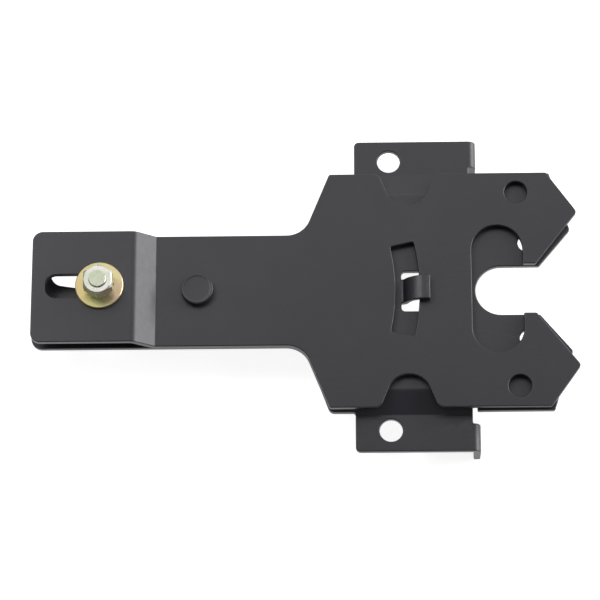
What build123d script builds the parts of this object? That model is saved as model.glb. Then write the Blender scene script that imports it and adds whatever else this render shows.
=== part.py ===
"""Two-way post latch for a gate: a folded bracket, a swinging catch lever and its lock bolt.

Lengths are in millimetres. The origin is midway between the two post screws, on the back of the
ears, which is the face that lies against the post. +X points to the mouth and +Z out of the post.
Plan sizes along X are measured from the pivot, and those along Y from the centre line.
"""
from build123d import *

import os
from math import asin, cos, degrees, radians, sin, tan

os.makedirs("parts", exist_ok=True)

# Sheet and clearances
sheet = 3.0                # thickness of both folded plates
bend_radius = 1.5          # inside radius of the long folds
edge_round = 0.45          # rounding of the punched edges on the front
running_gap = 0.3          # between the two plates, and under the rivet head
pin_clearance = 0.05       # radial, between a turning pin and its hole
bolt_clearance = 0.1       # radial, between the bolt and the pieces threaded on it

# Strike bar and swing
bar_diameter = 17.5        # round bar that the mouth takes
mouth_clearance = 2.65     # between the bar and each edge of the mouth
swing = 9.0                # degrees, from the middle to either end
stop_clearance = 0.1       # degrees left between the hook tab and the slot end

# Post fixing
screw_spacing = 127.0
screw_hole = 10.3
pivot_to_screws = 86.0
ear_left = 71.0
ear_right = 122.2          # where the flange fold starts
ear_half = 72.4
ear_drop = 3.7             # the ears lie this far behind the plate
ear_fold_start = 46.0
ear_fold_end = 56.5
ear_corner = 2.2
flange_depth = 17.0        # from the front of the ear
flange_length = 11.9
flange_bend = 0.4
flange_corner = 3.0
relief_width = 2.0         # slit between an ear and the prong beside it
relief_start = 44.0

# Bracket outline
bracket_left = 74.5
bracket_arm_half = 25.6
bracket_half = 55.3
wide_start = 59.0          # where the wide part reaches its full width
shoulder_angle = 68.0      # slope of the shoulders and of the notch walls
arm_fillet = 11.0
mouth_bottom = 123.8       # closed end of the mouth
bracket_mouth_corner = 152.9
bracket_tip_x = 167.2
bracket_tip_y = 28.5
bracket_prong_x = 158.4
bracket_left_corner = 5.0
bracket_wide_corner = 3.0
tip_round = 1.8
small_round = 1.2

# Hook tab and its window
tab_left = 91.8
tab_right = 104.0
tab_width = 12.0
tab_lift = 0.5             # between the lever and the tab
tab_bend = 5.5             # outside radius of the upper fold
tab_root_bend = 0.6
tab_root_overlap = 4.0
window_side = 3.35         # open on each side of the tab
window_beyond = 4.5        # open past the end of the tab
window_corner = 1.7

# Lever outline
lever_left = 72.4
lever_arm_half = 26.0
lever_half = 55.0
lever_left_corner = 4.5
lever_prong_x = 156.9
lever_tip_x = 170.4
lever_tip_y = 36.0
lever_mouth_corner = 151.3
lever_mouth_extra = 0.1    # the lever's mouth is this much wider on each side
lobe_left = 122.7
lobe_right = 145.6
lobe_clearance = 0.3       # past the bar at the end of the swing
step_near = 18.6           # the handle end steps forward between these two
step_far = 27.2
step_rise = 8.0

# Notches that pass the screw heads
notch_centre = 94.2
notch_depth = 15.3
notch_bottom_half = 6.55
notch_bottom_round = 9.6
notch_shoulder_round = 4.0

# Curved slot
curved_slot_inner = 88.6
curved_slot_outer = 99.3
curved_slot_corner = 1.0

# Padlock holes
lever_hole = 10.3
lever_hole_radius = 150.2
lever_hole_angle = 17.65
bracket_hole = 7.8
bracket_hole_radius = 149.2

# Pivot rivet
rivet_diameter = 9.5
rivet_head_diameter = 14.3
rivet_head_height = 3.2
rivet_head_chamfer = 1.7
rivet_tail_diameter = 13.0
rivet_tail_height = 2.6
rivet_tail_chamfer = 1.3

# Lock bolt and what it carries
bolt_diameter = 7.9
bolt_length = 25.4         # under the head
bolt_rest = 43.2           # distance from the pivot at rest
bolt_tip_chamfer = 0.8
bolt_head_diameter = 18.0
bolt_head_height = 4.2
bolt_head_rim = 0.8        # straight part of the head below its dome
bolt_head_gap = 0.2        # between the head and the back of the bracket
bolt_neck_width = 8.0      # square neck that rides in the forked slot
bolt_neck_depth = 4.7
bolt_neck_round = 0.8
nut_across = 12.7
nut_height = 6.6
nut_chamfer = 1.25
flat_washer_diameter = 21.4
flat_washer_bore = 9.2
flat_washer_thickness = 1.5
washer_edge = 0.3
lock_washer_diameter = 13.2
lock_washer_thickness = 1.9
lock_washer_split = 1.2
lock_washer_slant = 20.0   # degrees

# Slots for the bolt
lever_slot_width = 9.6
lever_slot_end = 62.8      # centre of the outer end
fork_slot_width = 11.0
fork_slot_end = 61.4
fork_window_outer = 53.0   # the bolt swings freely inside this radius

# Heights of the faces
plate_back = ear_drop
plate_front = plate_back + sheet
lever_back = plate_front + running_gap
lever_front = lever_back + sheet
raised_back = lever_back + step_rise
raised_front = lever_front + step_rise
flat_washer_top = raised_front + flat_washer_thickness
lock_washer_top = flat_washer_top + lock_washer_thickness
bolt_head_seat = plate_back - bolt_head_gap
bolt_tip = bolt_head_seat + bolt_length

# Sizes that follow from those above
mouth_half = bar_diameter / 2 + mouth_clearance
lever_mouth_half = mouth_half + lever_mouth_extra
bar_seat = mouth_bottom + bar_diameter / 2
lobe_radius = (lobe_right - lobe_left) / 2
lobe_reach = bar_seat * sin(radians(swing)) + bar_diameter / 2 + lobe_clearance
tab_half_angle = degrees(asin(tab_width / 2 / curved_slot_inner))
curved_slot_angle = swing + tab_half_angle + stop_clearance
bracket_hole_angle = lever_hole_angle - swing


def from_pivot(height: float) -> Plane:
    """Plane parallel to the plates at a height, with its origin on the pivot axis."""
    return Plane((-pivot_to_screws, 0, height))


def shoulder_foot(half: float, arm_half: float) -> float:
    """X where a shoulder that ends at the wide part would meet the edge of the arm."""
    return wide_start - (half - arm_half) / tan(radians(shoulder_angle))


# Post bracket: the folded plate is a cross-section run along X, trimmed to its outline
with BuildPart() as post_bracket:
    with BuildSketch(Plane.YZ.offset(-pivot_to_screws - bracket_left)) as folded_section:
        with BuildLine():
            FilletPolyline(
                (-ear_half, sheet),
                (-ear_fold_end, sheet),
                (-ear_fold_start, plate_front),
                (ear_fold_start, plate_front),
                (ear_fold_end, sheet),
                (ear_half, sheet),
                radius=[bend_radius, bend_radius + sheet, bend_radius + sheet, bend_radius],
            )
            offset(amount=sheet, side=Side.RIGHT)
        make_face()
    extrude(amount=bracket_left + ear_right + relief_width / 2)

    with BuildSketch(from_pivot(plate_back)) as prong_blank:
        with Locations((ear_right + relief_width / 2, 0)):
            Rectangle(
                bracket_tip_x - ear_right, 2 * bracket_half, align=(Align.MIN, Align.CENTER)
            )
    extrude(amount=sheet)

    with BuildSketch(from_pivot(-sheet)) as bracket_outline:
        with BuildLine():
            FilletPolyline(
                (-bracket_left, 0),
                (-bracket_left, bracket_arm_half),
                (shoulder_foot(bracket_half, bracket_arm_half), bracket_arm_half),
                (wide_start, bracket_half),
                (ear_left, bracket_half),
                (ear_left, ear_half),
                (ear_right, ear_half),
                (ear_right, bracket_half),
                (bracket_prong_x, bracket_half),
                (bracket_tip_x, bracket_tip_y),
                (bracket_mouth_corner, mouth_half),
                (mouth_bottom + mouth_half, mouth_half),
                radius=[
                    bracket_left_corner, arm_fillet, bracket_wide_corner, small_round,
                    ear_corner, 0, 0, small_round, tip_round, small_round,
                ],
            )
            CenterArc((mouth_bottom + mouth_half, 0), mouth_half, 90, 90)
            mirror(about=Plane.XZ)
        make_face()
    extrude(amount=plate_front + 2 * sheet, mode=Mode.INTERSECT)

    # slits that free the ears from the prongs
    with BuildSketch(from_pivot(-sheet)) as reliefs:
        for side in (1, -1):
            with Locations((ear_right + relief_width / 2, side * relief_start)):
                Rectangle(
                    relief_width,
                    ear_half - relief_start,
                    align=(Align.CENTER, Align.MIN if side > 0 else Align.MAX),
                )
    extrude(amount=plate_front + 2 * sheet, mode=Mode.SUBTRACT)

    # flanges folded back round the edge of the post
    flange_outside = ear_right + flange_bend + sheet - pivot_to_screws
    for side in (1, -1):
        with BuildSketch(Plane.XZ.offset(-side * ear_half)) as flange_section:
            with BuildLine():
                FilletPolyline(
                    (flange_outside - 2 * sheet, sheet),
                    (flange_outside, sheet),
                    (flange_outside, sheet - flange_depth),
                    (flange_outside - sheet, sheet - flange_depth),
                    (flange_outside - sheet, 0),
                    (flange_outside - 2 * sheet, 0),
                    close=True,
                    radius=[0, flange_bend + sheet, 0, 0, flange_bend, 0],
                )
            make_face()
        extrude(amount=side * flange_length)
    fillet(post_bracket.edges().filter_by(Axis.X).group_by(Axis.Z)[0], flange_corner)

    # window and hook tab
    with BuildSketch(from_pivot(plate_back)) as tab_window:
        with Locations((tab_left - tab_root_bend, 0)):
            Rectangle(
                tab_right - tab_left + tab_root_bend + window_beyond,
                tab_width + 2 * window_side,
                align=(Align.MIN, Align.CENTER),
            )
        fillet(tab_window.vertices(), window_corner)
    extrude(amount=sheet, mode=Mode.SUBTRACT)
    hook_left = tab_left - pivot_to_screws
    hook_right = tab_right - pivot_to_screws
    hook_under = lever_front + tab_lift
    with BuildSketch(Plane.XZ.offset(-tab_width / 2)) as tab_section:
        with BuildLine():
            FilletPolyline(
                (hook_left - tab_root_overlap, plate_front),
                (hook_left, plate_front),
                (hook_left, hook_under + sheet),
                (hook_right, hook_under + sheet),
                (hook_right, hook_under),
                (hook_left + sheet, hook_under),
                (hook_left + sheet, plate_back),
                (hook_left - tab_root_overlap, plate_back),
                close=True,
                radius=[0, tab_root_bend, tab_bend, 0, 0, tab_bend - sheet, tab_root_bend + sheet, 0],
            )
        make_face()
    extrude(amount=tab_width)

    # holes for the rivet, the post screws and a padlock
    with BuildSketch(from_pivot(-sheet)) as bracket_holes:
        Circle(rivet_diameter / 2)
        with Locations((pivot_to_screws, screw_spacing / 2), (pivot_to_screws, -screw_spacing / 2)):
            Circle(screw_hole / 2)
        for side in (1, -1):
            with PolarLocations(bracket_hole_radius, 1, start_angle=side * bracket_hole_angle):
                Circle(bracket_hole / 2)
    extrude(amount=plate_front + 2 * sheet, mode=Mode.SUBTRACT)

    # forked slot: an arc where the bolt swings, and an arm at each end of the swing
    with BuildSketch(from_pivot(plate_back)) as fork_slot:
        arm_middle = (bolt_rest + fork_slot_end) / 2
        for side in (1, -1):
            with PolarLocations(arm_middle, 1, start_angle=180 - side * swing):
                SlotCenterToCenter(fork_slot_end - bolt_rest, fork_slot_width)
        make_hull()
        Circle(fork_window_outer, mode=Mode.INTERSECT)
        Circle(bolt_rest - fork_slot_width / 2, mode=Mode.SUBTRACT)
        for side in (1, -1):
            with PolarLocations(arm_middle, 1, start_angle=180 - side * swing):
                SlotCenterToCenter(fork_slot_end - bolt_rest, fork_slot_width)
    extrude(amount=sheet, mode=Mode.SUBTRACT)
post_bracket.part.label = "post_bracket"
export_step(post_bracket.part, "parts/post_bracket.step")

# Catch lever: a stepped strip, trimmed to its outline
with BuildPart() as catch_lever:
    with BuildSketch(Plane.XZ.offset(-lever_half)) as stepped_section:
        with BuildLine():
            FilletPolyline(
                (-pivot_to_screws - lever_left, raised_front),
                (-pivot_to_screws - step_far, raised_front),
                (-pivot_to_screws - step_near, lever_front),
                (lever_tip_x - pivot_to_screws, lever_front),
                radius=[bend_radius + sheet, bend_radius],
            )
            offset(amount=sheet, side=Side.RIGHT)
        make_face()
    extrude(amount=2 * lever_half)

    with BuildSketch(from_pivot(0)) as lever_outline:
        notch_mouth_half = notch_bottom_half + notch_depth / tan(radians(shoulder_angle))
        with BuildLine():
            FilletPolyline(
                (-lever_left, 0),
                (-lever_left, lever_arm_half),
                (shoulder_foot(lever_half, lever_arm_half), lever_arm_half),
                (wide_start, lever_half),
                (notch_centre - notch_mouth_half, lever_half),
                (notch_centre - notch_bottom_half, lever_half - notch_depth),
                (notch_centre + notch_bottom_half, lever_half - notch_depth),
                (notch_centre + notch_mouth_half, lever_half),
                (lever_prong_x, lever_half),
                (lever_tip_x, lever_tip_y),
                (lever_mouth_corner, lever_mouth_half),
                (lobe_right, lever_mouth_half),
                radius=[
                    lever_left_corner, arm_fillet, small_round, notch_shoulder_round,
                    notch_bottom_round, notch_bottom_round, notch_shoulder_round,
                    small_round, tip_round, small_round,
                ],
            )
            lobe_centre = (lobe_left + lobe_radius, lobe_reach - lobe_radius)
            Line((lobe_right, lever_mouth_half), (lobe_right, lobe_centre[1]))
            CenterArc(lobe_centre, lobe_radius, 0, 180)
            Line((lobe_left, lobe_centre[1]), (lobe_left, 0))
            mirror(about=Plane.XZ)
        make_face()
    extrude(amount=raised_front + sheet, mode=Mode.INTERSECT)

    with BuildSketch(from_pivot(0)) as lever_holes:
        Circle(rivet_diameter / 2 + pin_clearance)
        for side in (1, -1):
            with PolarLocations(lever_hole_radius, 1, start_angle=side * lever_hole_angle):
                Circle(lever_hole / 2)
        with Locations((-(bolt_rest + lever_slot_end) / 2, 0)):
            SlotCenterToCenter(lever_slot_end - bolt_rest, lever_slot_width)
    extrude(amount=raised_front + sheet, mode=Mode.SUBTRACT)

    with BuildSketch(from_pivot(0)) as curved_slot:
        with BuildLine():
            near = CenterArc((0, 0), curved_slot_inner, -curved_slot_angle, 2 * curved_slot_angle)
            far = CenterArc((0, 0), curved_slot_outer, -curved_slot_angle, 2 * curved_slot_angle)
            Line(near @ 0, far @ 0)
            Line(near @ 1, far @ 1)
        make_face()
        fillet(curved_slot.vertices(), curved_slot_corner)
    extrude(amount=raised_front, mode=Mode.SUBTRACT)
catch_lever.part.label = "catch_lever"
export_step(catch_lever.part, "parts/catch_lever.step")

# Pivot rivet: low chamfered head in front, upset tail behind the bracket
with BuildPart() as pivot_rivet:
    with BuildSketch(Plane.XZ.move(Location((-pivot_to_screws, 0, 0)))) as rivet_section:
        head_bottom = lever_front + running_gap
        head_top = head_bottom + rivet_head_height
        tail_bottom = plate_back - rivet_tail_height
        with BuildLine():
            Polyline(
                (0, tail_bottom),
                (rivet_tail_diameter / 2 - rivet_tail_chamfer, tail_bottom),
                (rivet_tail_diameter / 2, tail_bottom + rivet_tail_chamfer),
                (rivet_tail_diameter / 2, plate_back),
                (rivet_diameter / 2, plate_back),
                (rivet_diameter / 2, head_bottom),
                (rivet_head_diameter / 2, head_bottom),
                (rivet_head_diameter / 2, head_top - rivet_head_chamfer),
                (rivet_head_diameter / 2 - rivet_head_chamfer, head_top),
                (0, head_top),
                close=True,
            )
        make_face()
    revolve(axis=Axis((-pivot_to_screws, 0, 0), (0, 0, 1)))
pivot_rivet.part.label = "pivot_rivet"
export_step(pivot_rivet.part, "parts/pivot_rivet.step")

# Flat washer under the lock washer
with BuildPart() as flat_washer:
    with BuildSketch(from_pivot(raised_front)):
        with Locations((-bolt_rest, 0)):
            Circle(flat_washer_diameter / 2)
            Circle(flat_washer_bore / 2, mode=Mode.SUBTRACT)
    extrude(amount=flat_washer_thickness)
    chamfer(flat_washer.faces().sort_by(Axis.Z)[-1].outer_wire().edges(), washer_edge)
flat_washer.part.label = "flat_washer"
export_step(flat_washer.part, "parts/flat_washer.step")

# Split lock washer
with BuildPart() as lock_washer:
    with BuildSketch(from_pivot(flat_washer_top)):
        with Locations((-bolt_rest, 0)):
            Circle(lock_washer_diameter / 2)
            Circle(bolt_diameter / 2 + bolt_clearance, mode=Mode.SUBTRACT)
    extrude(amount=lock_washer_thickness)
    split_plane = Plane(
        (-pivot_to_screws - bolt_rest, 0, flat_washer_top + lock_washer_thickness / 2),
        x_dir=(1, 0, 0),
        z_dir=(0, 0, 1),
    ).rotated((lock_washer_slant, 0, 0))
    with BuildSketch(split_plane):
        Rectangle(lock_washer_diameter, lock_washer_split, align=(Align.MIN, Align.CENTER))
    extrude(amount=lock_washer_diameter / 2, both=True, mode=Mode.SUBTRACT)
lock_washer.part.label = "lock_washer"
export_step(lock_washer.part, "parts/lock_washer.step")

# Lock bolt: round head behind the bracket, square neck in the forked slot, plain shank
with BuildPart() as lock_bolt:
    bolt_axis = (-pivot_to_screws - bolt_rest, 0)
    with BuildSketch(Plane((*bolt_axis, 0), x_dir=(1, 0, 0), z_dir=(0, -1, 0))) as head_section:
        rim_bottom = bolt_head_seat - bolt_head_rim
        head_bottom = bolt_head_seat - bolt_head_height
        dome_sag = bolt_head_height - bolt_head_rim
        dome_radius = (dome_sag**2 + (bolt_head_diameter / 2) ** 2) / (2 * dome_sag)
        with BuildLine():
            Polyline(
                (0, head_bottom),
                (0, bolt_head_seat),
                (bolt_head_diameter / 2, bolt_head_seat),
                (bolt_head_diameter / 2, rim_bottom),
            )
            RadiusArc((bolt_head_diameter / 2, rim_bottom), (0, head_bottom), dome_radius)
        make_face()
    revolve(axis=Axis((*bolt_axis, 0), (0, 0, 1)))
    with BuildSketch(Plane((*bolt_axis, bolt_head_seat))):
        RectangleRounded(bolt_neck_width, bolt_neck_width, bolt_neck_round)
    extrude(amount=bolt_neck_depth)
    with BuildSketch(Plane((*bolt_axis, bolt_head_seat))):
        Circle(bolt_diameter / 2)
    extrude(amount=bolt_length)
    chamfer(lock_bolt.edges().sort_by(Axis.Z)[-1], bolt_tip_chamfer)
lock_bolt.part.label = "lock_bolt"
export_step(lock_bolt.part, "parts/lock_bolt.step")

# Lock nut in front: a hexagon with its corners turned down at both ends
with BuildPart() as lock_nut:
    with BuildSketch(from_pivot(lock_washer_top)):
        with Locations((-bolt_rest, 0)):
            RegularPolygon(nut_across / 2, side_count=6, major_radius=False, rotation=30)
    extrude(amount=nut_height)
    nut_corner = nut_across / 2 / cos(radians(30))
    with BuildSketch(Plane((*bolt_axis, lock_washer_top), x_dir=(1, 0, 0), z_dir=(0, -1, 0))):
        with BuildLine():
            Polyline(
                (0, 0),
                (nut_corner - nut_chamfer, 0),
                (nut_corner, nut_chamfer * tan(radians(30))),
                (nut_corner, nut_height - nut_chamfer * tan(radians(30))),
                (nut_corner - nut_chamfer, nut_height),
                (0, nut_height),
                close=True,
            )
        make_face()
    revolve(axis=Axis((*bolt_axis, 0), (0, 0, 1)), mode=Mode.INTERSECT)
    with BuildSketch(from_pivot(lock_washer_top)):
        with Locations((-bolt_rest, 0)):
            Circle(bolt_diameter / 2 + bolt_clearance)
    extrude(amount=nut_height, mode=Mode.SUBTRACT)
lock_nut.part.label = "lock_nut"
export_step(lock_nut.part, "parts/lock_nut.step")
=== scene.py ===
"""Dressed scene of a two-way post latch: finishes, worked edges, cut thread, floor, lights and camera."""
import logging
import math
from collections.abc import Callable
from dataclasses import dataclass, field
from enum import Enum

import bpy
from mathutils import Matrix, Vector


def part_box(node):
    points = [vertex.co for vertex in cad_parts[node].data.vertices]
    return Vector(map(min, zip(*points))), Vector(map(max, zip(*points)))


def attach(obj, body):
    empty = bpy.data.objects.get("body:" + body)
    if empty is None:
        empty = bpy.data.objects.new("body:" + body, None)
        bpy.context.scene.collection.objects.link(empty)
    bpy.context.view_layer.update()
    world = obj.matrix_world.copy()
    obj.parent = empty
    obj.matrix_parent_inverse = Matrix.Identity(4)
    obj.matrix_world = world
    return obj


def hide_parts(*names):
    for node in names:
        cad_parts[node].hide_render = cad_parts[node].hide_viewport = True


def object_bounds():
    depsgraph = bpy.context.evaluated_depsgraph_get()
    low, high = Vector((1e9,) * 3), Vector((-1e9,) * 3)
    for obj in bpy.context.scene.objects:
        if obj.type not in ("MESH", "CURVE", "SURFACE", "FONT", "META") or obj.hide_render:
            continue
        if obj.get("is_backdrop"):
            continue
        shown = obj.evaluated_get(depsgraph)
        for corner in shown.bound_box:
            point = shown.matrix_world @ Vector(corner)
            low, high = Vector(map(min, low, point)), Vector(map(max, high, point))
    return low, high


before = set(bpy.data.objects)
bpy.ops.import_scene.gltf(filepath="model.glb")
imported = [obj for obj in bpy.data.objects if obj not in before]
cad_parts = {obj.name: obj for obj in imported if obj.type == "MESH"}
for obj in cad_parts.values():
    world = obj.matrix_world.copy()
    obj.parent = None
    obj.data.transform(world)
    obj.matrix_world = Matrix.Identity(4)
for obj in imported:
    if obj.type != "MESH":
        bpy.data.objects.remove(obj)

logging.basicConfig(level=logging.INFO, format="%(name)s: %(message)s")
LOG = logging.getLogger("post_latch")

MM = 0.001
PIVOT_X = -86.0 * MM
Colour = tuple[float, float, float]
Tones = tuple[Colour, Colour, Colour]
Place = tuple[float, float, float]
STILL: Place = (0.0, 0.0, 0.0)
FULL_SIZE: Place = (1.0, 1.0, 1.0)


class Node(Enum):
    """Pieces of the latch, as the frame names them."""

    BRACKET = "post_bracket"
    LEVER = "catch_lever"
    RIVET = "pivot_rivet"
    BOLT = "lock_bolt"
    NUT = "lock_nut"
    SPRING_WASHER = "lock_washer"
    FLAT_WASHER = "flat_washer"


class Element(Enum):
    """What an edit works on."""

    POINT = "VERT"
    EDGE = "EDGE"
    FACE = "FACE"


def pick(obj: bpy.types.Object, element: Element, inside: Callable[[Vector], bool]) -> None:
    """Select the elements whose points all lie in a region, and leave the piece in edit mode.

    Args:
        obj: The piece, which is the active object.
        element: Kind of element to select.
        inside: Whether a point lies in the region.
    """
    bpy.ops.object.mode_set(mode="EDIT")
    bpy.ops.mesh.select_mode(type=element.value)
    bpy.ops.mesh.select_all(action="DESELECT")
    bpy.ops.object.mode_set(mode="OBJECT")
    mesh = obj.data
    within = [inside(point.co) for point in mesh.vertices]
    if element is Element.POINT:
        for point, chosen in zip(mesh.vertices, within):
            point.select = chosen
    else:
        for item in mesh.edges if element is Element.EDGE else mesh.polygons:
            item.select = all(within[i] for i in item.vertices)
    bpy.ops.object.mode_set(mode="EDIT")


def smoothed(obj: bpy.types.Object, angle: float) -> None:
    """Shade a piece smooth below an angle between faces.

    Args:
        obj: The piece.
        angle: Largest angle in degrees that still shades smooth.
    """
    bpy.ops.object.select_all(action="DESELECT")
    bpy.context.view_layer.objects.active = obj
    obj.select_set(True)
    bpy.ops.object.shade_smooth_by_angle(angle=math.radians(angle))
    obj.select_set(False)


def copied(node: Node, name: str) -> bpy.types.Object:
    """Copy a piece of the frame with its own mesh, and make it the only selected one.

    Args:
        node: The piece in the frame.
        name: Name of the copy.

    Returns:
        The copy, at the origin.
    """
    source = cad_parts[node.value]
    copy = source.copy()
    copy.data = source.data.copy()
    copy.name = copy.data.name = name
    copy.parent = None
    for key in list(copy.keys()):
        del copy[key]
    bpy.context.scene.collection.objects.link(copy)
    bpy.ops.object.select_all(action="DESELECT")
    bpy.context.view_layer.objects.active = copy
    copy.select_set(True)
    return copy


class FinishSheet:
    """Node tree of one finish, with short calls for the patterns that the finishes share."""

    def __init__(self, name: str) -> None:
        """Start a material that holds one Principled shader.

        Args:
            name: Name of the material.
        """
        self.material = bpy.data.materials.new(name)
        self.material.use_nodes = True
        self.tree = self.material.node_tree
        self.shader = self.tree.nodes["Principled BSDF"]
        self.coordinates = self.tree.nodes.new("ShaderNodeTexCoord")

    def constant(self, socket: str, value: float | Colour) -> None:
        """Set a shader socket that is the same all over the surface."""
        self.shader.inputs[socket].default_value = (*value, 1.0) if isinstance(value, tuple) else value

    def wire(self, source: bpy.types.NodeSocket, socket: str) -> None:
        """Lead a pattern into a shader socket."""
        self.tree.links.new(source, self.shader.inputs[socket])

    def placed(self, centre: Vector) -> bpy.types.NodeSocket:
        """Object coordinates measured from a centre.

        Args:
            centre: Point in metres that becomes the pattern's origin.

        Returns:
            The vector output.
        """
        mapping = self.tree.nodes.new("ShaderNodeMapping")
        mapping.inputs["Location"].default_value = -centre
        self.tree.links.new(self.coordinates.outputs["Object"], mapping.inputs["Vector"])
        return mapping.outputs["Vector"]

    def noise(
        self,
        scale: float,
        detail: float = 3.0,
        roughness: float = 0.5,
        vector: bpy.types.NodeSocket | None = None,
    ) -> bpy.types.NodeSocket:
        """Noise on object coordinates.

        Args:
            scale: Waves per metre.
            detail: Octaves.
            roughness: Strength of the finer octaves.
            vector: Other coordinates to read.

        Returns:
            The factor output.
        """
        texture = self.tree.nodes.new("ShaderNodeTexNoise")
        texture.inputs["Scale"].default_value = scale
        texture.inputs["Detail"].default_value = detail
        texture.inputs["Roughness"].default_value = roughness
        self.tree.links.new(vector or self.coordinates.outputs["Object"], texture.inputs["Vector"])
        return texture.outputs["Fac"]

    def ramp(self, source: bpy.types.NodeSocket, stops: list[tuple[float, Colour]]) -> bpy.types.NodeSocket:
        """Colours along a factor.

        Args:
            source: The factor.
            stops: Position and colour of each stop, from low to high.

        Returns:
            The colour output.
        """
        node = self.tree.nodes.new("ShaderNodeValToRGB")
        elements = node.color_ramp.elements
        while len(elements) < len(stops):
            elements.new(0.5)
        for element, (position, colour) in zip(elements, stops):
            element.position = position
            element.color = (*colour, 1.0)
        self.tree.links.new(source, node.inputs["Fac"])
        return node.outputs["Color"]

    def spread(self, source: bpy.types.NodeSocket, low: float, high: float) -> bpy.types.NodeSocket:
        """Map the middle of a noise to a range of values.

        Args:
            source: Noise factor, which lies mostly between 0.3 and 0.7.
            low: Value at 0.3.
            high: Value at 0.7.

        Returns:
            The value output.
        """
        node = self.tree.nodes.new("ShaderNodeMapRange")
        node.inputs["From Min"].default_value = 0.3
        node.inputs["From Max"].default_value = 0.7
        node.inputs["To Min"].default_value = low
        node.inputs["To Max"].default_value = high
        self.tree.links.new(source, node.inputs["Value"])
        return node.outputs["Result"]

    def edges(self, low: float, high: float) -> bpy.types.NodeSocket:
        """Mask of the outer edges, where the coat thins and where a painted highlight is laid.

        Args:
            low: Pointedness at which the mask starts.
            high: Pointedness at which it is full.

        Returns:
            The mask output.
        """
        geometry = self.tree.nodes.new("ShaderNodeNewGeometry")
        node = self.tree.nodes.new("ShaderNodeMapRange")
        node.inputs["From Min"].default_value = low
        node.inputs["From Max"].default_value = high
        self.tree.links.new(geometry.outputs["Pointiness"], node.inputs["Value"])
        return node.outputs["Result"]

    def across(
        self, vector: bpy.types.NodeSocket, radius: float, waver: bpy.types.NodeSocket
    ) -> bpy.types.NodeSocket:
        """Factor that rises from 0 to 1 across a disc along X, with a wavering line.

        Args:
            vector: Coordinates measured from the disc's centre.
            radius: Radius of the disc in metres.
            waver: Noise that bends the line.

        Returns:
            The factor output.
        """
        split = self.tree.nodes.new("ShaderNodeSeparateXYZ")
        self.tree.links.new(vector, split.inputs["Vector"])
        place = self.tree.nodes.new("ShaderNodeMath")
        place.operation = "MULTIPLY_ADD"
        place.inputs[1].default_value = 0.5 / radius
        self.tree.links.new(split.outputs["X"], place.inputs[0])
        self.tree.links.new(waver, place.inputs[2])
        return place.outputs[0]

    def mixed(
        self, factor: bpy.types.NodeSocket, first: bpy.types.NodeSocket, second: bpy.types.NodeSocket
    ) -> bpy.types.NodeSocket:
        """Blend two colours by a factor.

        Args:
            factor: 0 for the first colour, 1 for the second.
            first: First colour.
            second: Second colour.

        Returns:
            The colour output.
        """
        node = self.tree.nodes.new("ShaderNodeMix")
        node.data_type = "RGBA"
        self.tree.links.new(factor, node.inputs["Factor"])
        self.tree.links.new(first, node.inputs["A"])
        self.tree.links.new(second, node.inputs["B"])
        return node.outputs["Result"]

    def relief(self, layers: list[tuple[bpy.types.NodeSocket, float]]) -> None:
        """Stack bumps under the shader's normal.

        Args:
            layers: Height pattern and its depth in metres, from coarse to fine.
        """
        previous = None
        for height, depth in layers:
            bump = self.tree.nodes.new("ShaderNodeBump")
            bump.inputs["Strength"].default_value = 1.0
            bump.inputs["Distance"].default_value = depth
            self.tree.links.new(height, bump.inputs["Height"])
            if previous is not None:
                self.tree.links.new(previous, bump.inputs["Normal"])
            previous = bump.outputs["Normal"]
        self.wire(previous, "Normal")


@dataclass(frozen=True)
class BlackPowderCoat:
    """Satin black powder coat: fine orange peel, uneven gloss, and a lighter colour on the outer edges,
    partly the thinner, worn coat there and partly a painted highlight.
    """

    name: str = "satin_black_powder_coat"
    tones: Tones = (
        (0.0120, 0.0112, 0.0186),
        (0.0140, 0.0132, 0.0212),
        (0.0164, 0.0154, 0.0236),
    )
    # lighter colour laid on the outer edges: partly thin, worn coat, partly painted highlight
    edge_wear_highlight_tone: Colour = (0.036, 0.036, 0.042)
    edge_wear_highlight_points: tuple[float, float] = (0.58, 0.66)
    gloss: tuple[float, float] = (0.39, 0.43)
    specular: float = 0.8
    cloud_waves: float = 32.0
    cloud_stops: Place = (0.34, 0.5, 0.66)
    edge_wear_highlight_waves: float = 260.0
    edge_wear_highlight_stops: tuple[float, float] = (0.4, 0.6)
    gloss_waves: float = 420.0
    peel_waves: float = 520.0
    peel_depth: float = 0.00003
    grain_waves: float = 2600.0
    grain_depth: float = 0.000012

    def material(self) -> bpy.types.Material:
        """Build the finish.

        Returns:
            The material.
        """
        sheet = FinishSheet(self.name)
        cloud = sheet.noise(self.cloud_waves, detail=4.0, roughness=0.6)
        body = sheet.ramp(cloud, list(zip(self.cloud_stops, self.tones)))
        # the outer edges take the lighter tone in patches: worn coat, and a painted highlight
        worn_and_highlight_stops = list(zip(self.edge_wear_highlight_stops, (self.tones[1], self.edge_wear_highlight_tone)))
        edge = sheet.ramp(sheet.noise(self.edge_wear_highlight_waves), worn_and_highlight_stops)
        sheet.wire(sheet.mixed(sheet.edges(*self.edge_wear_highlight_points), body, edge), "Base Color")
        sheet.wire(sheet.spread(sheet.noise(self.gloss_waves, detail=2.0), *self.gloss), "Roughness")
        sheet.constant("Specular IOR Level", self.specular)
        peel = sheet.noise(self.peel_waves, detail=2.0, roughness=0.45)
        grain = sheet.noise(self.grain_waves, detail=2.0, roughness=0.6)
        sheet.relief([(peel, self.peel_depth), (grain, self.grain_depth)])
        return sheet.material


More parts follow.
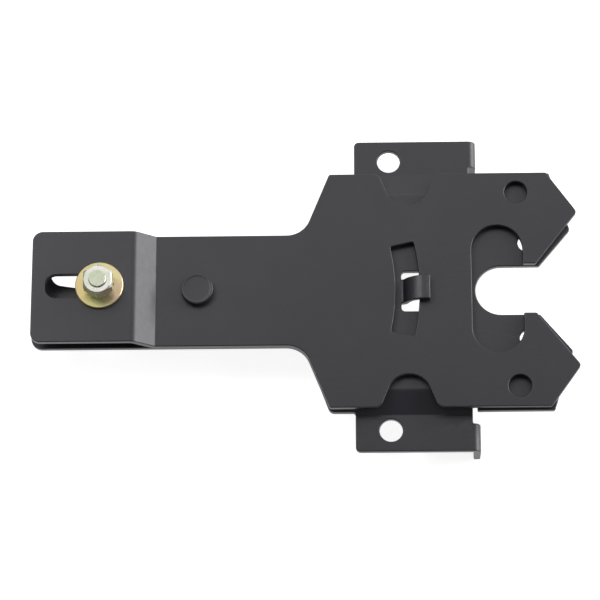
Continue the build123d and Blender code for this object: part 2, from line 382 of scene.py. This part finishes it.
@dataclass(frozen=True)
class ClearZinc:
    """Bright zinc plate with a faint green cast, a little uneven from the plating barrel."""

    name: str
    centre: Vector
    tones: Tones = (
        (0.67, 0.71, 0.59),
        (0.78, 0.78, 0.70),
        (0.84, 0.80, 0.76),
    )
    gloss: tuple[float, float] = (0.26, 0.40)
    cloud_waves: float = 130.0
    cloud_stops: Place = (0.34, 0.5, 0.68)
    gloss_waves: float = 900.0
    dent_waves: float = 700.0
    dent_depth: float = 0.00003
    grain_waves: float = 4200.0
    grain_depth: float = 0.000008

    def material(self) -> bpy.types.Material:
        """Build the finish.

        Returns:
            The material.
        """
        sheet = FinishSheet(self.name)
        vector = sheet.placed(self.centre)
        cloud = sheet.noise(self.cloud_waves, detail=3.0, roughness=0.55, vector=vector)
        sheet.wire(sheet.ramp(cloud, list(zip(self.cloud_stops, self.tones))), "Base Color")
        sheet.constant("Metallic", 1.0)
        shine = sheet.noise(self.gloss_waves, detail=3.0, vector=vector)
        sheet.wire(sheet.spread(shine, *self.gloss), "Roughness")
        dents = sheet.noise(self.dent_waves, detail=2.0, vector=vector)
        grain = sheet.noise(self.grain_waves, detail=2.0, vector=vector)
        sheet.relief([(dents, self.dent_depth), (grain, self.grain_depth)])
        return sheet.material


# tones of the bolt, whose plate is greener than the nut's
GREENER_ZINC: Tones = ((0.52, 0.59, 0.42), (0.60, 0.64, 0.49), (0.65, 0.66, 0.54))


@dataclass(frozen=True)
class YellowZinc:
    """Yellow passivated zinc, which drifts from straw on one side through green to pink on the other."""

    name: str
    centre: Vector
    radius: float
    straw: Colour = (0.67, 0.54, 0.255)
    green: Colour = (0.68, 0.68, 0.30)
    pink: Colour = (0.78, 0.60, 0.42)
    gloss: tuple[float, float] = (0.28, 0.42)
    waver_waves: float = 90.0
    drift_stops: tuple[float, float, float, float] = (0.18, 0.42, 0.62, 0.9)
    patch_waves: float = 210.0
    patch_stops: Place = (0.35, 0.5, 0.65)
    blend_waves: float = 160.0
    blend_share: tuple[float, float] = (0.1, 0.45)
    gloss_waves: float = 800.0
    grain_waves: float = 3000.0
    grain_depth: float = 0.00001

    def material(self) -> bpy.types.Material:
        """Build the finish.

        Returns:
            The material.
        """
        sheet = FinishSheet(self.name)
        vector = sheet.placed(self.centre)
        waver = sheet.noise(self.waver_waves, detail=2.0, vector=vector)
        drift = sheet.across(vector, self.radius, waver)
        bands = (self.straw, self.green, self.green, self.pink)
        body = sheet.ramp(drift, list(zip(self.drift_stops, bands)))
        patch = sheet.noise(self.patch_waves, detail=3.0, vector=vector)
        fine = sheet.ramp(patch, list(zip(self.patch_stops, (self.green, self.straw, self.pink))))
        mottle = sheet.noise(self.blend_waves, detail=2.0, vector=vector)
        blend = sheet.spread(mottle, *self.blend_share)
        sheet.wire(sheet.mixed(blend, body, fine), "Base Color")
        sheet.constant("Metallic", 1.0)
        shine = sheet.noise(self.gloss_waves, detail=3.0, vector=vector)
        sheet.wire(sheet.spread(shine, *self.gloss), "Roughness")
        grain = sheet.noise(self.grain_waves, detail=2.0, vector=vector)
        sheet.relief([(grain, self.grain_depth)])
        return sheet.material


@dataclass(frozen=True)
class StudioPaper:
    """Plain pale paper, which the camera and polished metal see as white."""

    name: str = "studio_paper"
    colour: Colour = (0.80, 0.80, 0.80)
    seen: float = 0.84

    def material(self) -> bpy.types.Material:
        """Build the finish.

        Returns:
            The material.
        """
        material = bpy.data.materials.new(self.name)
        material.use_nodes = True
        tree = material.node_tree
        tree.nodes.clear()
        paper = tree.nodes.new("ShaderNodeBsdfDiffuse")
        paper.inputs["Color"].default_value = (*self.colour, 1.0)
        glow = tree.nodes.new("ShaderNodeEmission")
        glow.inputs["Color"].default_value = (1.0, 1.0, 1.0, 1.0)
        rays = tree.nodes.new("ShaderNodeLightPath")
        either = tree.nodes.new("ShaderNodeMath")
        either.operation = "MAXIMUM"
        tree.links.new(rays.outputs["Is Camera Ray"], either.inputs[0])
        tree.links.new(rays.outputs["Is Glossy Ray"], either.inputs[1])
        strength = tree.nodes.new("ShaderNodeMath")
        strength.operation = "MULTIPLY"
        strength.inputs[1].default_value = self.seen
        tree.links.new(either.outputs[0], strength.inputs[0])
        tree.links.new(strength.outputs[0], glow.inputs["Strength"])
        total = tree.nodes.new("ShaderNodeAddShader")
        tree.links.new(paper.outputs[0], total.inputs[0])
        tree.links.new(glow.outputs[0], total.inputs[1])
        output = tree.nodes.new("ShaderNodeOutputMaterial")
        tree.links.new(total.outputs[0], output.inputs["Surface"])
        return material


class CarriedPiece:
    """A piece whose shape the frame gives, which only takes a finish."""

    def __init__(self, node: Node) -> None:
        """Take hold of the piece.

        Args:
            node: The piece in the frame.
        """
        self.node = node
        self.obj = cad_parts[node.value]

    def centre(self) -> Vector:
        """Middle of the piece's box."""
        low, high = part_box(self.node.value)
        return (low + high) / 2

    def radius(self) -> float:
        """Half of the piece's width along X."""
        low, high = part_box(self.node.value)
        return (high.x - low.x) / 2

    def dress(self, material: bpy.types.Material) -> None:
        """Put a finish on the piece.

        Args:
            material: The finish.
        """
        self.obj.data.materials.clear()
        self.obj.data.materials.append(material)
        LOG.info("%s takes %s", self.node.value, material.name)


@dataclass(frozen=True)
class EdgeMove:
    """Small correction of a pressed edge or bend: the points in a box are shifted, or scaled about a point.

    Places and shifts are in mm: X from the pivot, Y from the middle of the plate, Z from the post's face.
    """

    low: Place
    high: Place
    shift: Place = STILL
    scale: Place = FULL_SIZE
    about: Place = STILL
    both_sides: bool = True

    def run(self, plate: bpy.types.Object) -> None:
        """Move the points of a plate, on the other side of its middle too.

        Args:
            plate: The plate, which is the active object.
        """
        for side in (1, -1) if self.both_sides else (1,):
            flip = Vector((1, side, 1))
            ends = [flip * Vector(self.low), flip * Vector(self.high)]
            low = Vector(map(min, *ends)) * MM + Vector((PIVOT_X, 0, 0))
            high = Vector(map(max, *ends)) * MM + Vector((PIVOT_X, 0, 0))
            pick(plate, Element.POINT, lambda p: all(a <= c <= b for a, c, b in zip(low, p, high)))
            if self.scale != FULL_SIZE:
                centre = flip * Vector(self.about) * MM + Vector((PIVOT_X, 0, 0))
                bpy.ops.transform.resize(value=self.scale, center_override=centre)
            if self.shift != STILL:
                bpy.ops.transform.translate(value=flip * Vector(self.shift) * MM)
        bpy.ops.object.mode_set(mode="OBJECT")


@dataclass
class PressedPlate:
    """Folded plate whose punched edges are broken by the tumbler and filled by the coat."""

    node: Node
    body: str
    moves: tuple[EdgeMove, ...]
    round_over: float = 0.5 * MM
    round_steps: int = 3
    sharp_angle: float = 32.0
    flat_angle: float = 0.3
    weld: float = 0.002 * MM
    flat_weight: int = 100

    def reshape(self, plate: bpy.types.Object) -> None:
        """Correct the edges and bends, each in its turn."""
        for move in self.moves:
            move.run(plate)

    def build(self, material: bpy.types.Material) -> None:
        """Make the plate with rounded edges and let it stand for the sharp one.

        Args:
            material: The plate's finish.
        """
        plate = copied(self.node, f"{self.node.value}_pressed")
        bpy.ops.object.mode_set(mode="EDIT")
        bpy.ops.mesh.select_mode(type="VERT")
        bpy.ops.mesh.select_all(action="SELECT")
        bpy.ops.mesh.remove_doubles(threshold=self.weld)
        self.reshape(plate)
        bpy.ops.object.mode_set(mode="EDIT")
        bpy.ops.mesh.select_all(action="SELECT")
        bpy.ops.mesh.dissolve_limited(angle_limit=math.radians(self.flat_angle))
        bpy.ops.object.mode_set(mode="OBJECT")
        rounding = plate.modifiers.new("round_over", "BEVEL")
        rounding.limit_method = "ANGLE"
        rounding.angle_limit = math.radians(self.sharp_angle)
        rounding.width = self.round_over
        rounding.segments = self.round_steps
        rounding.use_clamp_overlap = False
        rounding.loop_slide = False
        rounding.harden_normals = False
        rounding.miter_outer = "MITER_ARC"
        bpy.ops.object.modifier_apply(modifier=rounding.name)
        smoothed(plate, self.sharp_angle)
        weighting = plate.modifiers.new("flat_faces", "WEIGHTED_NORMAL")
        weighting.keep_sharp = True
        weighting.weight = self.flat_weight
        bpy.context.view_layer.objects.active = plate
        plate.select_set(True)
        bpy.ops.object.modifier_apply(modifier=weighting.name)
        plate.select_set(False)
        plate.data.materials.clear()
        plate.data.materials.append(material)
        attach(plate, self.body)
        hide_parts(self.node.value)
        LOG.info("%s: %d faces with rounded edges", self.node.value, len(plate.data.polygons))


@dataclass
class LeaningTab:
    """Hook tab of the bracket, whose leg leans out as it rises, in mm."""

    left: float = 91.8
    right: float = 104.0
    half_width: float = 6.0
    narrowed: float = 0.925
    foot: float = 6.7
    top: float = 13.5
    lean: float = 4.0
    slack: float = 0.05
    root_reach: float = 4.5
    back: float = 3.0
    level_slack: float = 0.0002

    def reshape(self, plate: bpy.types.Object) -> None:
        """Narrow the tab, and push each level of its leg out by its share of the lean.

        Args:
            plate: The bracket, which is the active object.
        """
        side = self.half_width + self.slack
        EdgeMove(
            (self.left - self.root_reach, self.half_width - self.slack, self.back),
            (self.right + self.slack, side, self.top + self.slack),
            scale=(1.0, self.narrowed, 1.0),
        ).run(plate)
        left, right = (PIVOT_X + x * MM for x in (self.left - self.slack, self.right - self.slack))
        levels = {
            round(p.co.z / MM, 4)
            for p in plate.data.vertices
            if left < p.co.x < right and abs(p.co.y) < side * MM and p.co.z > (self.foot + self.slack) * MM
        }
        for level in sorted(levels, reverse=True):
            share = (level - self.foot) / (self.top - self.foot)
            EdgeMove(
                (self.left - self.slack, -side, level - self.level_slack),
                (self.right - self.slack, side, level + self.level_slack),
                shift=(self.lean * share, 0.0, 0.0),
                both_sides=False,
            ).run(plate)


@dataclass
class BracketPlate(PressedPlate):
    """Post bracket, whose hook tab leans."""

    tab: LeaningTab = field(default_factory=LeaningTab)

    def reshape(self, plate: bpy.types.Object) -> None:
        """Correct the edges and bends, then the tab."""
        super().reshape(plate)
        self.tab.reshape(plate)


BRACKET_MOVES = (
    # outer edge and left edge of the ears
    EdgeMove((69.4, 69.0, -15), (127, 72.6, 4), shift=(0, 0.8, 0)),
    EdgeMove((69.4, 55.25, -1), (73.6, 74.0, 4), shift=(-0.7, 0, 0)),
    # edge of the prongs
    EdgeMove((123, 54.2, 3.6), (160, 55.4, 6.8), shift=(0, 0.6, 0)),
    # closed end of the mouth, and the end under the handle
    EdgeMove((123.6, -11.5, 3), (135.3, 11.5, 7), shift=(0.5, 0, 0), both_sides=False),
    EdgeMove((-74.7, 15, 3), (-69.0, 27, 7), shift=(0.2, 0, 0)),
)

LEVER_MOVES = (
    # end of the handle
    EdgeMove((-72.6, 15, 14), (-67.0, 27, 19), shift=(-1.2, 0, 0)),
    # slot for the bolt: outer end, inner end
    EdgeMove(
        (-67.8, -4.9, 14), (-62.7, 4.9, 19), scale=(1.146, 1.146, 1), about=(-62.8, 0, 0), shift=(0.5, 0, 0),
        both_sides=False,
    ),
    EdgeMove(
        (-43.3, -4.9, 14), (-38.2, 4.9, 19), scale=(1.146, 1.146, 1), about=(-43.2, 0, 0), both_sides=False
    ),
    # far end of the step
    EdgeMove((-31.5, -27, 12), (-24.6, 27, 19), shift=(-0.4, 0, 0), both_sides=False),
)


@dataclass
class UpsetRivet:
    """Pivot rivet: a head with a rolled rim round a shallow dish, the shank, and the upset tail."""

    body: str = "bracket"
    head_height: float = 3.2 * MM
    tail_height: float = 2.6 * MM
    tail_radius: float = 6.5 * MM
    shank_radius: float = 4.75 * MM
    rim_width: float = 1.5 * MM
    dish_depth: float = 0.3 * MM
    rim_round: float = 0.75 * MM
    dish_round: float = 0.3 * MM
    tail_round: float = 1.2 * MM
    ring_steps: int = 96
    round_steps: int = 4
    sharp_angle: float = 32.0
    near: float = 0.01 * MM

    def __post_init__(self) -> None:
        """Read the rivet's place from the frame."""
        low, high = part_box(Node.RIVET.value)
        self.axis = Vector(((low.x + high.x) / 2, (low.y + high.y) / 2, 0.0))
        self.foot, self.top = low.z, high.z
        self.head_radius = (high.x - low.x) / 2

    def ring(self, radius: float, height: float) -> Callable[[Vector], bool]:
        """Test for points on a circle round the axis.

        Args:
            radius: Radius of the circle.
            height: Height of the circle.

        Returns:
            The test.
        """

        def on_ring(point: Vector) -> bool:
            """Whether a point lies on the circle."""
            out = (point.xy - self.axis.xy).length
            return abs(out - radius) < self.near and abs(point.z - height) < self.near

        return on_ring

    def build(self, material: bpy.types.Material) -> None:
        """Form the rivet and let it stand for the plain one.

        Args:
            material: The rivet's finish.
        """
        bpy.ops.object.select_all(action="DESELECT")
        bpy.ops.mesh.primitive_cylinder_add(
            vertices=self.ring_steps,
            radius=self.tail_radius,
            depth=self.tail_height,
            location=self.axis + Vector((0, 0, self.foot + self.tail_height / 2)),
        )
        rivet = bpy.context.object
        rivet.name = rivet.data.name = "pivot_rivet_upset"
        bpy.ops.object.transform_apply(location=True, rotation=True, scale=True)
        shoulder = self.foot + self.tail_height
        under_head = self.top - self.head_height
        pick(rivet, Element.FACE, lambda p: p.z > shoulder - self.near)
        bpy.ops.mesh.inset(thickness=self.tail_radius - self.shank_radius)
        up = {"value": (0.0, 0.0, under_head - shoulder)}
        bpy.ops.mesh.extrude_region_move(TRANSFORM_OT_translate=up)
        bpy.ops.mesh.extrude_region_move(TRANSFORM_OT_translate={"value": (0.0, 0.0, 0.0)})
        grow = self.head_radius / self.shank_radius
        bpy.ops.transform.resize(
            value=(grow, grow, 1.0), center_override=self.axis + Vector((0, 0, under_head))
        )
        bpy.ops.mesh.extrude_region_move(TRANSFORM_OT_translate={"value": (0.0, 0.0, self.head_height)})
        bpy.ops.mesh.inset(thickness=self.rim_width)
        bpy.ops.transform.translate(value=(0.0, 0.0, -self.dish_depth))
        for radius, height, offset in (
            (self.head_radius, self.top, self.rim_round),
            (self.head_radius - self.rim_width, self.top - self.dish_depth, self.dish_round),
            (self.tail_radius, self.foot, self.tail_round),
        ):
            pick(rivet, Element.EDGE, self.ring(radius, height))
            bpy.ops.mesh.bevel(offset=offset, segments=self.round_steps, affect="EDGES")
        bpy.ops.object.mode_set(mode="OBJECT")
        smoothed(rivet, self.sharp_angle)
        rivet.data.materials.append(material)
        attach(rivet, self.body)
        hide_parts(Node.RIVET.value)
        LOG.info("pivot rivet: %d faces", len(rivet.data.polygons))


@dataclass
class ThreadedBolt:
    """Lock bolt with its cut thread, in place of the plain one."""

    body: str = "bolt"
    pitch: float = 1.41 * MM
    thread_depth: float = 0.62 * MM
    point_height: float = 1.3 * MM
    point_chamfer: float = 0.3 * MM
    thread_length: float = 19.0 * MM
    radius: float = 3.93 * MM
    core_share: float = 0.5
    core_gap: float = 0.3 * MM
    root_flat: float = 0.14
    rise: float = 0.36
    crest_flat: float = 0.12
    fall: float = 0.38
    sharp_angle: float = 32.0
    head_weld: float = 1e-6
    turn_weld: float = 2e-6
    near: float = 0.001 * MM
    ring_steps: int = 48

    def __post_init__(self) -> None:
        """Read the bolt's place from the frame."""
        low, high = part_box(Node.BOLT.value)
        self.axis = Vector(((low.x + high.x) / 2, (low.y + high.y) / 2, 0.0))
        self.tip = high.z
        self.turns = int((self.thread_length - self.point_height) / self.pitch) - 1

    def plain_copy(self) -> bpy.types.Object:
        """Copy of the bolt below its thread.

        Returns:
            The head, neck and plain part of the shank.
        """
        copy = copied(Node.BOLT, "lock_bolt_head")
        bpy.ops.object.mode_set(mode="EDIT")
        bpy.ops.mesh.select_mode(type="VERT")
        bpy.ops.mesh.select_all(action="SELECT")
        bpy.ops.mesh.remove_doubles(threshold=self.head_weld)
        bpy.ops.mesh.bisect(
            plane_co=(self.axis.x, self.axis.y, self.tip - self.thread_length),
            plane_no=(0, 0, 1),
            clear_outer=True,
            use_fill=True,
        )
        bpy.ops.object.mode_set(mode="OBJECT")
        copy.select_set(False)
        return copy

    def threaded_part(self) -> bpy.types.Object:
        """Screw-cut length of the shank.

        Returns:
            The threaded piece.
        """
        root = self.radius - self.thread_depth
        steps = (
            (0.0, 0.0, self.pitch * self.root_flat),
            (self.thread_depth, 0.0, self.pitch * self.rise),
            (0.0, 0.0, self.pitch * self.crest_flat),
            (-self.thread_depth, 0.0, self.pitch * self.fall),
        )
        bpy.ops.object.select_all(action="DESELECT")
        bpy.ops.mesh.primitive_plane_add(
            size=self.pitch, location=(self.axis.x, self.axis.y, self.tip - self.thread_length)
        )
        thread = bpy.context.object
        thread.name = thread.data.name = "lock_bolt_thread"
        bpy.ops.object.mode_set(mode="EDIT")
        bpy.ops.mesh.select_mode(type="VERT")
        bpy.ops.mesh.select_all(action="SELECT")
        bpy.ops.mesh.merge(type="CENTER")
        bpy.ops.transform.translate(value=(root, 0.0, 0.0))
        for step in steps:
            bpy.ops.mesh.extrude_vertices_move(TRANSFORM_OT_translate={"value": step})
        bpy.ops.object.mode_set(mode="OBJECT")
        screw = thread.modifiers.new("cut", "SCREW")
        screw.axis = "Z"
        screw.angle = 2 * math.pi
        screw.screw_offset = self.pitch
        screw.iterations = self.turns
        screw.steps = self.ring_steps
        screw.render_steps = self.ring_steps
        screw.use_merge_vertices = True
        screw.merge_threshold = self.turn_weld
        bpy.context.view_layer.objects.active = thread
        thread.select_set(True)
        bpy.ops.object.modifier_apply(modifier=screw.name)
        bpy.ops.object.transform_apply(location=True, rotation=True, scale=True)
        bpy.ops.object.select_all(action="DESELECT")
        return thread

    def core_part(self) -> bpy.types.Object:
        """Core of the thread, which widens to the plain point.

        Returns:
            A turned blank with a chamfered end.
        """
        radius = self.radius - self.thread_depth * self.core_share
        height = self.thread_length - self.core_gap - self.point_height
        point_foot = self.tip - self.point_height
        bpy.ops.object.select_all(action="DESELECT")
        bpy.ops.mesh.primitive_cylinder_add(
            vertices=2 * self.ring_steps,
            radius=radius,
            depth=height,
            location=self.axis + Vector((0, 0, point_foot - height / 2)),
        )
        blank = bpy.context.object
        blank.name = blank.data.name = "lock_bolt_core"
        bpy.ops.object.transform_apply(location=True, rotation=True, scale=True)
        pick(blank, Element.FACE, lambda p: p.z > point_foot - self.near)
        bpy.ops.mesh.extrude_region_move(TRANSFORM_OT_translate={"value": (0.0, 0.0, 0.0)})
        grow = self.radius / radius
        bpy.ops.transform.resize(
            value=(grow, grow, 1.0), center_override=self.axis + Vector((0, 0, point_foot))
        )
        bpy.ops.mesh.extrude_region_move(TRANSFORM_OT_translate={"value": (0.0, 0.0, self.point_height)})
        pick(blank, Element.EDGE, lambda p: p.z > self.tip - self.near)
        bpy.ops.mesh.bevel(offset=self.point_chamfer, segments=1, affect="EDGES")
        bpy.ops.object.mode_set(mode="OBJECT")
        return blank

    def build(self, material: bpy.types.Material) -> None:
        """Make the bolt and let it stand for the plain one.

        Args:
            material: The bolt's finish.
        """
        head = self.plain_copy()
        thread = self.threaded_part()
        core = self.core_part()
        for piece in (head, thread, core):
            piece.data.materials.clear()
            piece.data.materials.append(material)
            smoothed(piece, self.sharp_angle)
            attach(piece, self.body)
        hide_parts(Node.BOLT.value)
        LOG.info("lock bolt: %d turns of thread", self.turns)


@dataclass
class PaperFloor:
    """Level sheet of pale paper that the latch lies on."""

    half_width: float = 3.0
    gap: float = 0.00005

    def build(self, level: float) -> None:
        """Lay the paper.

        Args:
            level: Height of the latch's lowest point.
        """
        bpy.ops.object.select_all(action="DESELECT")
        bpy.ops.mesh.primitive_plane_add(size=2 * self.half_width, location=(0, 0, 0))
        paper = bpy.context.object
        paper.name = "paper_floor"
        paper.data.transform(Matrix.Translation((0, 0, level - self.gap)))
        paper.data.materials.append(StudioPaper().material())
        paper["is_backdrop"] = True
        LOG.info("paper floor at %.4f m", level)


@dataclass(frozen=True)
class SoftBox:
    """Rectangular lamp aimed at the latch, named by how bright its face looks."""

    name: str
    place: Place
    size: tuple[float, float]
    brightness: float
    aim: Place = (-0.03, 0.0, 0.005)

    def build(self) -> None:
        """Hang the lamp."""
        lamp = bpy.data.lights.new(self.name, "AREA")
        lamp.shape = "RECTANGLE"
        lamp.size, lamp.size_y = self.size
        lamp.energy = self.brightness * math.pi * self.size[0] * self.size[1]
        holder = bpy.data.objects.new(self.name, lamp)
        holder.location = self.place
        toward = Vector(self.aim) - Vector(self.place)
        holder.rotation_euler = toward.to_track_quat("-Z", "Y").to_euler()
        holder.visible_camera = False
        bpy.context.scene.collection.objects.link(holder)


@dataclass
class Studio:
    """Lamps and the dim surround of the room."""

    surround: Colour = (1.0, 1.0, 1.0)
    surround_strength: float = 0.16
    lamps: tuple[SoftBox, ...] = (
        SoftBox("back_panel", (0.0, 0.95, 1.05), (2.6, 1.5), 0.88),
        SoftBox("right_panel", (1.25, 0.35, 0.45), (1.2, 0.9), 5.4),
        SoftBox("left_high_panel", (-0.80, 0.45, 1.15), (0.55, 0.55), 4.1),
    )

    def build(self) -> None:
        """Light the room."""
        world = bpy.data.worlds.new("pale_room")
        world.use_nodes = True
        background = world.node_tree.nodes["Background"]
        background.inputs["Color"].default_value = (*self.surround, 1.0)
        background.inputs["Strength"].default_value = self.surround_strength
        bpy.context.scene.world = world
        for lamp in self.lamps:
            lamp.build()


@dataclass
class PhotoCamera:
    """Camera at the place that the photograph was taken from."""

    target: Place = (-0.0401, -0.0048, 0.010)
    azimuth: float = 4.736
    elevation: float = 71.465
    roll: float = -5.032
    distance: float = 1.33456
    focal_pixels: float = 2990.67
    frame_pixels: float = 600.0

    def build(self) -> None:
        """Set the camera up."""
        a, e, r = (math.radians(v) for v in (self.azimuth, self.elevation, self.roll))
        back = Vector((math.sin(a) * math.cos(e), -math.cos(a) * math.cos(e), math.sin(e)))
        right = (-back).cross(Vector((0, 0, 1))).normalized()
        up = right.cross(-back)
        image_right = right * math.cos(r) + up * math.sin(r)
        image_up = up * math.cos(r) - right * math.sin(r)
        data = bpy.data.cameras.new("photo_camera")
        data.sensor_width = 36.0
        data.lens = self.focal_pixels / self.frame_pixels * data.sensor_width
        data.clip_start, data.clip_end = 0.05, 50.0
        camera = bpy.data.objects.new("photo_camera", data)
        turn = Matrix((image_right, image_up, back)).transposed().to_4x4()
        camera.matrix_world = Matrix.Translation(Vector(self.target) + back * self.distance) @ turn
        bpy.context.scene.collection.objects.link(camera)
        bpy.context.scene.camera = camera


def main() -> None:
    """Dress the latch and build its studio."""
    solid_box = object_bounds()

    black = BlackPowderCoat().material()
    BracketPlate(Node.BRACKET, "bracket", BRACKET_MOVES).build(black)
    PressedPlate(Node.LEVER, "lever", LEVER_MOVES).build(black)
    UpsetRivet().build(black)
    nut = CarriedPiece(Node.NUT)
    zinc = ClearZinc("clear_zinc_plate", nut.centre()).material()
    nut.dress(zinc)
    CarriedPiece(Node.SPRING_WASHER).dress(zinc)
    washer = CarriedPiece(Node.FLAT_WASHER)
    washer.dress(YellowZinc("yellow_zinc_plate", washer.centre(), washer.radius()).material())
    bolt = CarriedPiece(Node.BOLT)
    ThreadedBolt().build(ClearZinc("green_zinc_plate", bolt.centre(), GREENER_ZINC).material())

    PaperFloor().build(solid_box[0].z)
    Studio().build()
    PhotoCamera().build()
    bpy.context.scene.view_settings.view_transform = "Standard"


if __name__ == "__main__":
    main()
